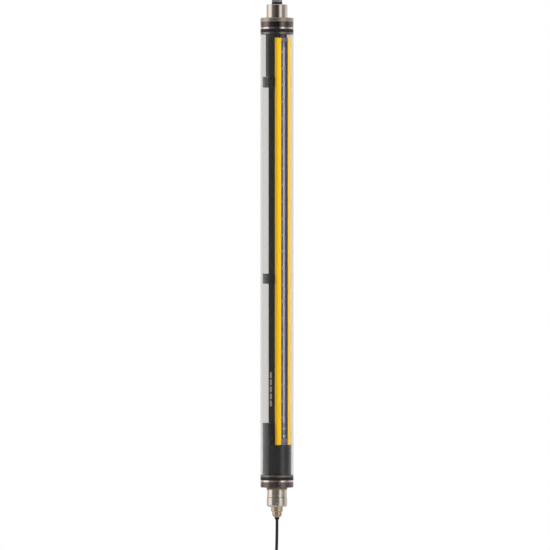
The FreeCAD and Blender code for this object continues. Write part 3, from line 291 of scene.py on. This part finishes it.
def porous_film():
    """White porous PTFE film: chalky and slightly mottled."""
    material, tree, surface = new_material("porous_film", "#ecebe6", Roughness=0.85)
    vary(tree, surface, fine_grain(tree, 0.15 * MM, detail=4.0), colours=("#dedcd5", "#f4f3ef"))
    return material


def cable_polyurethane():
    """Black polyurethane jacket: matt and slightly waxy."""
    material, tree, surface = new_material("cable_polyurethane", "#151314", Roughness=0.55)
    vary(tree, surface, fine_grain(tree, 0.5 * MM), colours=("#120f10", "#181516"),
         relief=0.002 * MM)
    return material


def nickel_plate():
    """Nickel-plated brass: bright, a little warm, with fine turning marks."""
    middle = joint_centre()
    material, tree, surface = new_material("nickel_plate", "#cfc8bc", Metallic=1.0,
                                           Roughness=0.2)
    vary(tree, surface, lathe_rings(tree, 0.15 * MM, (middle.x, middle.y)),
         roughness=(0.15, 0.28), relief=0.001 * MM)
    return material


def gold_plate():
    """Gold-plated contact pins: smooth and deep yellow."""
    material, tree, surface = new_material("gold_plate", "#dcb45c", Metallic=1.0,
                                           Roughness=0.18)
    vary(tree, surface, fine_grain(tree, 0.2 * MM), roughness=(0.14, 0.24))
    return material


def zinc_steel():
    """Zinc-plated steel screws and nuts: grey with a slight haze."""
    material, tree, surface = new_material("zinc_steel", "#b4b3af", Metallic=1.0,
                                           Roughness=0.32)
    vary(tree, surface, fine_grain(tree, 0.6 * MM), colours=("#a2a29f", "#c2c0bb"))
    return material


def solder_mask():
    """Green solder mask on a glass-fibre board."""
    material, tree, surface = new_material("solder_mask", "#13502c", Roughness=0.3)
    vary(tree, surface, fine_grain(tree, 0.4 * MM), colours=("#104626", "#175a33"))
    return material


def diode_resin():
    """Dark infra-red diodes and the board's connector: glossy black resin."""
    material, tree, surface = new_material("diode_resin", "#161419", Roughness=0.22)
    vary(tree, surface, fine_grain(tree, 0.3 * MM), roughness=(0.18, 0.3))
    return material


def moulded_lens():
    """Milky moulded lens strip: pale lilac, with a bright rim where the light catches it."""
    material, *_ = new_material("moulded_lens", "#dedee8", Transmission_Weight=0.12,
                                IOR=ACRYLIC_IOR, Roughness=0.12)
    return material


def lit_pipe():
    """Clear light pipes, each with a small diode's pale light coming through."""
    material, _, surface = new_material("lit_pipe", "#d8dce8", Roughness=0.3,
                                        Emission_Strength=0.25)
    surface.inputs["Emission Color"].default_value = linear("#e4e8f4")
    return material


def print_ink():
    """Grey-brown printing ink on the black coat: matt and slightly uneven."""
    material, tree, surface = new_material("print_ink", "#9c8d88", Roughness=0.6)
    vary(tree, surface, fine_grain(tree, 0.8 * MM), colours=("#93847f", "#a59691"))
    return material


def painted_shade_ink():
    """Violet-black painted shade along the window's edges, standing in for the shade that the
    rails cast there: dense, with a soft gloss.
    """
    material, tree, surface = new_material("painted_shade_ink", "#2c2330", Roughness=0.35,
                                           Specular_IOR_Level=0.3)
    vary(tree, surface, fine_grain(tree, 0.6 * MM), colours=("#281f2b", "#302735"))
    return material


def lens_film():
    """Pale lilac diffusing film: matt, a little uneven."""
    material, tree, surface = new_material("lens_film", "#9d9bac", Roughness=0.6)
    vary(tree, surface, fine_grain(tree, 0.5 * MM), colours=("#9694a5", "#a4a2b3"))
    return material


# --------------------------------------------------------------------------
# Finishes on the frame's own pieces
# --------------------------------------------------------------------------
def dress(material, *nodes):
    """Give a material to some of the frame's pieces."""
    for name in nodes:
        piece = frame["nodes"][name]
        piece.data.materials.clear()
        piece.data.materials.append(material)


def dress_frame():
    """Every node of the frame with its finish, from the tube inwards and then down the cable."""
    dress(extruded_acrylic(), "protective_tube")
    dress(turned_stainless("turned_stainless", "#d3c8bd", 0.16),
          "top_clamp_ring", "bottom_clamp_ring", "gland_body", "gland_nut")
    dress(turned_stainless("reducer_stainless", "#c4b098", 0.24), "reducer_body", "reducer_nut")
    dress(turned_stainless("boss_stainless", "#d6cbc0", 0.2), "vent_boss")
    dress(turned_stainless("cover_stainless", "#b5a898", 0.42), "top_cover")
    # painted shade: the caps' stainless has a dark base colour so that they look shaded
    dress(turned_stainless("painted_shade_stainless", "#716466", 0.22), "top_cap", "bottom_cap")
    dress(turned_stainless("satin_stainless", "#8a8078", 0.34),
          "top_tube_collar", "bottom_tube_collar")
    dress(moulded_rubber(), "top_tube_seal", "bottom_tube_seal", "boss_seal", "vent_seal",
          "gland_seal", "gland_insert", "plug_seal")
    dress(black_anodised(), "housing_channel")
    dress(yellow_coating(), "left_front_rail", "right_front_rail")
    dress(smoked_acrylic(), "window")
    dress(black_acetal(), "bottom_adapter", "middle_holder", "upper_holder", "top_bracket")
    dress(black_polyamide(), "lens_carrier", "plug_carrier", "plug_grip")
    dress(violet_polyamide(), "curtain_bottom_cap", "curtain_top_cap")
    dress(grey_polyamide(), "vent_body", "vent_cap")
    dress(porous_film(), "vent_membrane")
    dress(cable_polyurethane(), "inner_lead")
    dress(nickel_plate(), "plug_coupling_ring")
    dress(gold_plate(), "plug_pins")
    dress(zinc_steel(), "slot_screws", "slot_nuts", "cap_screws")
    dress(solder_mask(), "circuit_board")
    dress(diode_resin(), "diodes", "lead_connector")
    dress(moulded_lens(), "lenses")
    dress(lit_pipe(), "status_lights")
    # lamps reach what stands behind clear plastic
    for name in ("protective_tube", "window", "lenses"):
        frame["nodes"][name].visible_shadow = False


# --------------------------------------------------------------------------
# Making pieces, in millimetres
# --------------------------------------------------------------------------
ROUND_SIDES = 48
ROUND_ANGLES = [2 * math.pi * side / ROUND_SIDES for side in range(ROUND_SIDES)]
SHARP_ANGLE = math.radians(35)


def in_mm(node):
    """The low and the high corner of a node's box."""
    low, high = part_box(node)
    return [value / MM for value in low], [value / MM for value in high]


def build(name, points, faces, material, body, smooth=True):
    """A closed mesh from its points and faces, riding on a body."""
    mesh = bpy.data.meshes.new(name)
    mesh.from_pydata([Vector(point) * MM for point in points], [], faces)
    solid = bmesh.new()
    solid.from_mesh(mesh)
    bmesh.ops.recalc_face_normals(solid, faces=solid.faces)
    solid.to_mesh(mesh)
    solid.free()
    if smooth:
        mesh.shade_smooth()
        mesh.set_sharp_from_angle(angle=SHARP_ANGLE)
    mesh.materials.append(material)
    piece = bpy.data.objects.new(name, mesh)
    bpy.context.collection.objects.link(piece)
    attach(piece, body)
    return piece


def loft(rings):
    """A closed solid through rings that all have the same number of points."""
    sides = len(rings[0])
    points = [point for ring in rings for point in ring]
    faces = [list(range(sides)), list(range(len(points) - sides, len(points)))]
    for level in range(len(rings) - 1):
        for side in range(sides):
            here, there = level * sides + side, level * sides + (side + 1) % sides
            faces.append([here, there, there + sides, here + sides])
    return points, faces


def join(solids):
    """One list of points and one of faces from several solids."""
    points, faces = [], []
    for more_points, more_faces in solids:
        shift = len(points)
        points += more_points
        faces += [[corner + shift for corner in face] for face in more_faces]
    return points, faces


def slab(left, right, rear, front, foot, head):
    """A plain box."""
    corners = [(left, rear), (right, rear), (right, front), (left, front)]
    return loft([[(x, y, z) for x, y in corners] for z in (foot, head)])


def comb(left, right, rear, front, foot, head, heights, gap, reach):
    """A flat strip with a gap round each height, cut from its right edge as far as reach."""
    outline = [(right, foot)]
    for height in heights:
        outline += [(right, height - gap / 2), (reach, height - gap / 2),
                    (reach, height + gap / 2), (right, height + gap / 2)]
    outline += [(right, head), (left, head), (left, foot)]
    return loft([[(x, y, z) for x, z in outline] for y in (rear, front)])


def ring_solid(middle, inner, outer, foot, head, edge):
    """A closed ring about a vertical axis, with its outer edges broken."""
    profile = [(inner, foot), (outer - edge, foot), (outer, foot + edge), (outer, head - edge),
               (outer - edge, head), (inner, head)]
    points, faces = loft([
        [(middle.x + reach * math.cos(angle), middle.y + reach * math.sin(angle), rise)
         for angle in ROUND_ANGLES] for reach, rise in profile])
    # the bore takes the place of the two flat ends
    last = (len(profile) - 1) * ROUND_SIDES
    around = [(side, (side + 1) % ROUND_SIDES) for side in range(ROUND_SIDES)]
    bore = [[here, there, last + there, last + here] for here, there in around]
    return points, faces[2:] + bore


def ring_along_y(y, height, reaches):
    """Points round a level axis, each at its own reach from it."""
    return [(reach * math.cos(angle), y, height + reach * math.sin(angle))
            for reach, angle in zip(reaches, ROUND_ANGLES)]


# --------------------------------------------------------------------------
# The window's painted shade, film and lights
# --------------------------------------------------------------------------
INK = 0.05
END_MARGIN = 0.3

BEAM_PITCH = 25.0
BEAM_MARK = 2.0
WINDOW_HALF = 7.0
BAND_HALF = 3.3
BORDER_RIM = 0.6


def beam_heights():
    """The height of every beam, from the row of diodes."""
    low, high = in_mm("diodes")
    middle = (low[2] + high[2]) / 2
    count = round((high[2] - low[2]) / BEAM_PITCH)
    return [middle + (place - count / 2) * BEAM_PITCH for place in range(count + 1)]


def make_window_painted_shade(ink):
    """Dark borders of painted shade that leave a clear band, with a short gap beside each beam."""
    low, high = in_mm("window")
    rear, front = low[1] + INK / 2, low[1] - INK
    foot, head = low[2] + END_MARGIN, high[2] - END_MARGIN
    points, faces = join([
        comb(-WINDOW_HALF, -BAND_HALF, rear, front, foot, head, beam_heights(),
             gap=BEAM_MARK, reach=BORDER_RIM - WINDOW_HALF),
        slab(BAND_HALF, WINDOW_HALF, rear, front, foot, head),
    ])
    # the ink here is painted shade: a dark sheet where the rails shade the window
    build("window_painted_shade", points, faces, ink, "curtain", smooth=False)


FILM_SUNK = 0.01
STRIP_GAP = 0.2
LIGHT_RADIUS = 1.5
LIGHT_GAP = 3.2
LIGHT_GAP_LEFT = -4.2
LIGHT_BAR_LEFT = -4.0


def make_strip_ends(film, glow):
    """Pale film over the carrier beyond the lens strip, and a lit bar in front of each light."""
    strip_low, strip_high = in_mm("lenses")
    carrier_low, carrier_high = in_mm("lens_carrier")
    light_low, light_high = in_mm("status_lights")
    half, rear = strip_high[0], carrier_low[1] + FILM_SUNK
    front = rear - INK
    heights = [light_low[2] + LIGHT_RADIUS, light_high[2] - LIGHT_RADIUS]
    points, faces = join([
        slab(-half, half, rear, front, strip_high[2] + STRIP_GAP, carrier_high[2] - END_MARGIN),
        comb(-half, half, rear, front, carrier_low[2] + END_MARGIN, strip_low[2] - STRIP_GAP,
             heights, gap=LIGHT_GAP, reach=LIGHT_GAP_LEFT),
    ])
    build("strip_ends", points, faces, film, "curtain", smooth=False)
    points, faces = join([
        slab(LIGHT_BAR_LEFT, half - STRIP_GAP, rear, front,
             height - LIGHT_RADIUS, height + LIGHT_RADIUS) for height in heights])
    build("light_bars", points, faces, glow, "curtain", smooth=False)


# --------------------------------------------------------------------------
# The plain print on the housing's side
# --------------------------------------------------------------------------
PRINT_BARS = 5
PRINT_FOOT = -228.0
PRINT_PITCH = 10.6
PRINT_TALL = 8.6
PRINT_REAR = 0.4
PRINT_FRONT = -3.6


def make_side_print(ink):
    """A column of plain printed bars on the housing's left side."""
    skin = in_mm("housing_channel")[0][0]
    feet = [PRINT_FOOT + number * PRINT_PITCH for number in range(PRINT_BARS)]
    points, faces = join([
        slab(skin + INK / 2, skin - INK, PRINT_REAR, PRINT_FRONT, foot, foot + PRINT_TALL)
        for foot in feet])
    build("side_print", points, faces, ink, "curtain", smooth=False)


# --------------------------------------------------------------------------
# T-slot screws
# --------------------------------------------------------------------------
# From the foot up: one at the cradle, one at each holder, and two at the bracket.
SCREW_HEIGHTS = (-269.75, -36.1, 259.6, 282.6, 311.6)
HEAD_RADIUS = 2.75
HEAD_TALL = 3.0
HEAD_CHAMFER = 0.35
HEAD_EDGE = 0.1
SHANK_RADIUS = 1.45
TIP_CHAMFER = 0.3
KNURL_DEPTH = 0.08
HEX_ACROSS = 2.5
HEX_DEPTH = 1.6


def hexagon(angle):
    """How far the side of the hexagon socket is from its middle, at an angle."""
    return HEX_ACROSS / 2 / math.cos((angle + math.pi / 6) % (math.pi / 3) - math.pi / 6)


def make_slot_screws(steel):
    """Socket-head screws with a knurled head, a chamfer and a hexagon socket."""
    low, high = in_mm("slot_screws")
    tip, face = low[1], high[1]
    neck = face - HEAD_TALL
    profile = [(tip, SHANK_RADIUS - TIP_CHAMFER), (tip + TIP_CHAMFER, SHANK_RADIUS),
               (neck, SHANK_RADIUS), (neck, HEAD_RADIUS - HEAD_EDGE),
               (neck + HEAD_EDGE, HEAD_RADIUS), (face - HEAD_CHAMFER, HEAD_RADIUS),
               (face, HEAD_RADIUS - HEAD_CHAMFER)]
    socket = [hexagon(angle) for angle in ROUND_ANGLES]
    screws = []
    for height in SCREW_HEIGHTS:
        rings = []
        for y, radius in profile:
            knurl = KNURL_DEPTH if radius >= HEAD_RADIUS else 0.0
            reaches = [radius - knurl * (side % 2) for side in range(ROUND_SIDES)]
            rings.append(ring_along_y(y, height, reaches))
        rings += [ring_along_y(y, height, socket) for y in (face, face - HEX_DEPTH)]
        screws.append(loft(rings))
    points, faces = join(screws)
    piece = build("socket_screws", points, faces, steel, "curtain")
    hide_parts("slot_screws")


# --------------------------------------------------------------------------
# The gland's washer, and detail on the plug
# --------------------------------------------------------------------------
def make_gland_washer(fibre):
    """A brown fibre washer round the gland's shoulder, against the cap."""
    head = in_mm("gland_seal")[1][2]
    reach = in_mm("gland_body")[1][0]
    tall, clearance, sunk, proud, edge = 3.4, 0.05, 0.6, 0.25, 0.3
    points, faces = ring_solid(Vector((0, 0, 0)), reach - sunk, reach + proud,
                               head - tall, head - clearance, edge)
    build("gland_washer", points, faces, fibre, "curtain")


THREAD_PITCH = 1.0
THREAD_STEPS = 36
THREAD_RUN_OUT = 12
THREAD_MARGIN = 0.9
THREAD_ROOT = 5.95
THREAD_CREST = 6.2
THREAD_LEAST = 0.02
CREST_HALF = 0.1
ROOT_HALF = 0.42


def make_ring_thread(nickel):
    """The coupling ring's M12 thread: one ridge wound round it, a little proud to show."""
    middle = joint_centre() / MM
    foot = in_mm("plug_coupling_ring")[0][2] + THREAD_MARGIN
    head = in_mm("plug_seal")[0][2] - THREAD_MARGIN
    count = int((head - foot) / THREAD_PITCH * THREAD_STEPS)
    lowest = THREAD_ROOT + THREAD_LEAST
    rings = []
    for step in range(count + 1):
        angle = 2 * math.pi * step / THREAD_STEPS
        rise = foot + THREAD_PITCH * step / THREAD_STEPS
        # the ridge runs out to almost nothing over a third of a turn at both ends
        full = min(1.0, step / THREAD_RUN_OUT, (count - step) / THREAD_RUN_OUT)
        tip = lowest + (THREAD_CREST - lowest) * full
        section = [(THREAD_ROOT, -ROOT_HALF), (tip, -CREST_HALF), (tip, CREST_HALF),
                   (THREAD_ROOT, ROOT_HALF)]
        rings.append([(middle.x + radius * math.cos(angle), middle.y + radius * math.sin(angle),
                       rise + up) for radius, up in section])
    points, faces = loft(rings)
    build("ring_thread", points, faces, nickel, "plug_ring")


RIB_COUNT = 5
RIB_PITCH = 2.0
RIB_HALF = 0.55


def make_grip_ribs(plastic):
    """Raised ribs round the plug's moulded grip."""
    middle = joint_centre() / MM
    low, high = in_mm("plug_grip")
    radius = (high[0] - low[0]) / 2
    first, sunk, proud, edge = low[2] + 9.4, 0.3, 0.25, 0.2
    ribs = []
    for number in range(RIB_COUNT):
        rise = first + number * RIB_PITCH
        ribs.append(ring_solid(middle, radius - sunk, radius + proud,
                               rise - RIB_HALF, rise + RIB_HALF, edge))
    points, faces = join(ribs)
    build("grip_ribs", points, faces, plastic, "curtain")


def add_pieces():
    """Every piece that the frame doesn't hold, apart from the cable."""
    make_gland_washer(vulcanised_fibre())
    # dark sheets of painted shade along the window's edges
    make_window_painted_shade(painted_shade_ink())
    make_strip_ends(lens_film(), bpy.data.materials["lit_pipe"])
    make_side_print(print_ink())
    make_slot_screws(bpy.data.materials["zinc_steel"])
    make_ring_thread(bpy.data.materials["nickel_plate"])
    make_grip_ribs(bpy.data.materials["black_polyamide"])


# --------------------------------------------------------------------------
# Cable
# --------------------------------------------------------------------------
CABLE_DIAMETER = 4.4 * MM
# From the gland's tip: across, deep, and up. The same places as the frame's own route.
CABLE_ROUTE = [
    (0.0, 0.0, 0.0),
    (0.0, 0.0, -30.0),
    (-2.0, 1.0, -80.0),
    (-3.0, 0.4, -130.0),
    (-3.0, 0.4, -160.0),
]


def make_cable():
    """The pigtail: one smooth round curve from the gland's tip down to the plug."""
    exit_point = Vector((0, 0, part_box("gland_insert")[0][2]))
    data = bpy.data.curves.new("hanging_cable", "CURVE")
    data.dimensions = "3D"
    data.bevel_depth = CABLE_DIAMETER / 2
    data.bevel_resolution = 8
    data.resolution_u = 24
    data.use_fill_caps = True
    line = data.splines.new("NURBS")
    line.points.add(len(CABLE_ROUTE) - 1)
    for point, place in zip(line.points, CABLE_ROUTE):
        point.co = (exit_point + Vector(place) * MM).to_4d()
    line.order_u = 3
    line.use_endpoint_u = True
    cable = bpy.data.objects.new("hanging_cable", data)
    bpy.context.collection.objects.link(cable)
    data.materials.append(bpy.data.materials["cable_polyurethane"])
    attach(cable, "curtain")
    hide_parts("cable")


# --------------------------------------------------------------------------
# Studio
# --------------------------------------------------------------------------
FLOOR_DROP = 15 * MM
FLOOR_RADIUS = 3.6
FLOOR_SIDES = 96
FLOOR_GLOW = 0.35
LAMP_DISTANCE = 5.0
LAMP_WIDTH = 2.0
LAMP_HEIGHT = 4.0

# Brightness of what gloss sees round the horizon, by degrees from the camera towards its
# right. The two bright stretches are the soft boxes.
SURROUNDINGS = [
    (-180, 0.9), (-140, 0.8), (-122, 0.5), (-108, 0.9), (-100, 1.4), (-66, 1.3), (-58, 0.3),
    (-45, 0.16), (-28, 0.13), (-12, 0.06), (8, 0.03), (20, 0.12), (30, 0.8), (36, 1.2),
    (48, 1.1), (56, 0.5), (66, 0.3), (84, 0.25), (96, 0.6), (110, 0.8), (140, 0.85), (180, 0.9),
]
# What shows through clear plastic is a little darker than the backdrop. On the camera's side
# it is darker still, in a level band that ends between two slopes, so that the tube's inner
# reflections leave black parts black.
PLASTIC_LEVEL = 0.8
DARK_SIDE = 0.45
THROUGH_PLASTIC = [
    (-180, PLASTIC_LEVEL), (-120, PLASTIC_LEVEL), (-75, DARK_SIDE), (75, DARK_SIDE),
    (110, PLASTIC_LEVEL), (180, PLASTIC_LEVEL),
]
BAND_SLOPES = (0.06, 0.11)
BRIGHTEST = 1.5
FILL_LIGHT = 0.35


def make_floor():
    """A plain pale disc below the hanging plug, glowing a little to blend with the backdrop."""
    mesh = bpy.data.meshes.new("floor")
    disc = bmesh.new()
    bmesh.ops.create_circle(disc, cap_ends=True, radius=FLOOR_RADIUS, segments=FLOOR_SIDES)
    disc.to_mesh(mesh)
    disc.free()
    floor = bpy.data.objects.new("floor", mesh)
    floor.location.z = CAD_BOX[0][2] - FLOOR_DROP
    bpy.context.collection.objects.link(floor)
    material, tree, surface = new_material("pale_floor", "#f4f4f2", Roughness=0.8,
                                           Specular_IOR_Level=0.1)
    rays = add(tree, "LightPath")
    seen = add(tree, "Math", {0: rays.outputs["Is Camera Ray"],
                              1: rays.outputs["Is Transmission Ray"]}, operation="MAXIMUM")
    glow = add(tree, "Math", {0: seen.outputs["Value"], 1: FLOOR_GLOW}, operation="MULTIPLY")
    surface.inputs["Emission Color"].default_value = WHITE
    tree.links.new(glow.outputs["Value"], surface.inputs["Emission Strength"])
    mesh.materials.append(material)


def horizon_light(tree, across, levels):
    """Light from all round, as bright as the levels say at each angle from the camera."""
    ramp = add(tree, "ValToRGB", {"Fac": across})
    while len(ramp.color_ramp.elements) < len(levels):
        ramp.color_ramp.elements.new(1.0)
    for element, (degrees, level) in zip(ramp.color_ramp.elements, levels):
        element.position = (degrees + 180) / 360
        element.color = (level / BRIGHTEST, level / BRIGHTEST, level / BRIGHTEST, 1)
    light = add(tree, "Background", {"Color": ramp.outputs["Color"], "Strength": BRIGHTEST})
    return light.outputs["Background"]


def make_world():
    """A white backdrop for the camera, with its own light for gloss and for clear plastic."""
    world = bpy.data.worlds.new("studio")
    bpy.context.scene.world = world
    world.use_nodes = True
    tree = world.node_tree
    fill = tree.nodes["Background"]
    fill.inputs["Color"].default_value = WHITE
    fill.inputs["Strength"].default_value = FILL_LIGHT

    place = add(tree, "TexCoord").outputs["Generated"]
    ahead = add(tree, "VectorMath", {0: place, 1: tuple(TOWARDS_CAMERA)},
                operation="DOT_PRODUCT")
    aside = add(tree, "VectorMath", {0: place, 1: tuple(CAMERA_RIGHT)}, operation="DOT_PRODUCT")
    angle = add(tree, "Math", {0: aside.outputs["Value"], 1: ahead.outputs["Value"]},
                operation="ARCTAN2")
    across = add(tree, "MapRange", {"Value": angle.outputs["Value"],
                                    "From Min": -math.pi, "From Max": math.pi})
    gloss = horizon_light(tree, across.outputs["Result"], SURROUNDINGS)
    band = horizon_light(tree, across.outputs["Result"], THROUGH_PLASTIC)

    axes = add(tree, "SeparateXYZ", {"Vector": place})
    slope = add(tree, "Math", {0: axes.outputs["Z"]}, operation="ABSOLUTE")
    off_band = add(tree, "MapRange", {"Value": slope.outputs["Value"],
                                      "From Min": BAND_SLOPES[0], "From Max": BAND_SLOPES[1]})
    even = add(tree, "Background", {"Color": WHITE, "Strength": PLASTIC_LEVEL})
    through = add(tree, "MixShader", {0: off_band.outputs["Result"], 1: band,
                                      2: even.outputs["Background"]})
    backdrop = add(tree, "Background", {"Color": WHITE, "Strength": 1.0})

    rays = add(tree, "LightPath")
    shader = fill.outputs["Background"]
    for kind, light in (("Is Glossy Ray", gloss),
                        ("Is Transmission Ray", through.outputs["Shader"]),
                        ("Is Camera Ray", backdrop.outputs["Background"])):
        choice = add(tree, "MixShader", {0: rays.outputs[kind], 1: shader, 2: light})
        shader = choice.outputs["Shader"]
    tree.links.new(shader, tree.nodes["World Output"].inputs["Surface"])


def soft_box(name, degrees, power):
    """A tall lamp that faces the tube's middle; gloss sees it in the surroundings instead."""
    data = bpy.data.lights.new(name, "AREA")
    data.shape = "RECTANGLE"
    data.size = LAMP_WIDTH
    data.size_y = LAMP_HEIGHT
    data.energy = power
    lamp = bpy.data.objects.new(name, data)
    bpy.context.collection.objects.link(lamp)
    lamp.location = from_camera(degrees) * LAMP_DISTANCE
    lamp.rotation_euler = (-lamp.location).to_track_quat("-Z", "Y").to_euler()
    lamp.visible_glossy = False
    lamp.visible_camera = False
    lamp.visible_transmission = False


def make_studio():
    """The floor, the world and two lamps, at a plain view transform."""
    bpy.context.scene.view_settings.view_transform = "Standard"
    make_floor()
    make_world()
    soft_box("left_box", -82, 230)
    soft_box("right_box", 50, 372)


# --------------------------------------------------------------------------
# Build
# --------------------------------------------------------------------------
make_camera()
dress_frame()
add_pieces()
make_cable()
make_studio()
